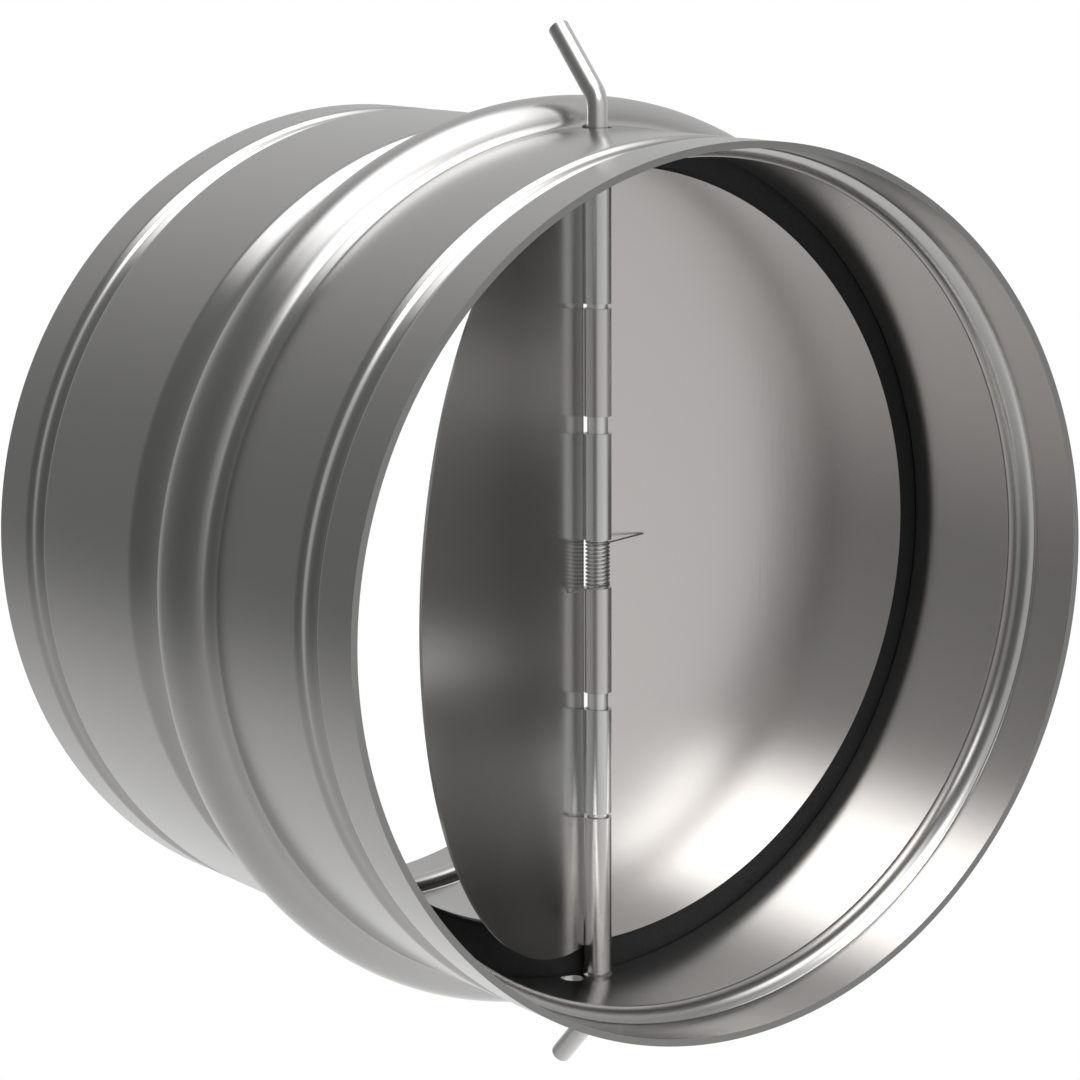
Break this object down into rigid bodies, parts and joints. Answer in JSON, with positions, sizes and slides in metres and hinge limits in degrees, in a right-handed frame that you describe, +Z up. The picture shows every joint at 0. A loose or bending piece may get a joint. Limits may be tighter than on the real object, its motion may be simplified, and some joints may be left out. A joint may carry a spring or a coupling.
{
  "type": "duct backdraft damper",
  "caption": "Round sheet-steel duct damper with a rubber seal ring and two spring-closed half-disc blades on one upright hinge rod.",
  "frame": {"origin": "centre of the casing on the duct's axis, halfway between the rims", "axes": "+Y along the duct against the flow, from the outlet rim towards the inlet rim; +Z up along the hinge rod; +X to the right as seen from the outlet"},
  "size_m": [0.1322, 0.098, 0.1532],
  "materials": {
    "casing_steel": "satin zinc-coated sheet",
    "blade_steel": "satin thin sheet",
    "rod_steel": "bright drawn wire",
    "spring_steel": "bright spring wire",
    "seal_rubber": "matt"
  },
  "bodies": {
    "casing": {"casing": "casing_steel", "seal_ring": "seal_rubber", "hinge_rod": "rod_steel", "torsion_spring": "spring_steel"},
    "left_blade": {"left_blade": "blade_steel"},
    "right_blade": {"right_blade": "blade_steel"}
  },
  "joints": [
    {"name": "left_blade_hinge", "type": "hinge", "parent": "casing", "child": "left_blade", "pos_m": [0, -0.0158, 0], "axis": [0, 0, 1], "range_deg": [-33, 52], "stiffness_Nm_per_rad": 0.002, "springref_deg": -53, "deforming": ["torsion_spring"]},
    {"name": "right_blade_hinge", "type": "hinge", "parent": "casing", "child": "right_blade", "pos_m": [0, -0.0158, 0], "axis": [0, 0, -1], "range_deg": [0, 85], "stiffness_Nm_per_rad": 0.002, "springref_deg": -20, "deforming": ["torsion_spring"]}
  ]
}
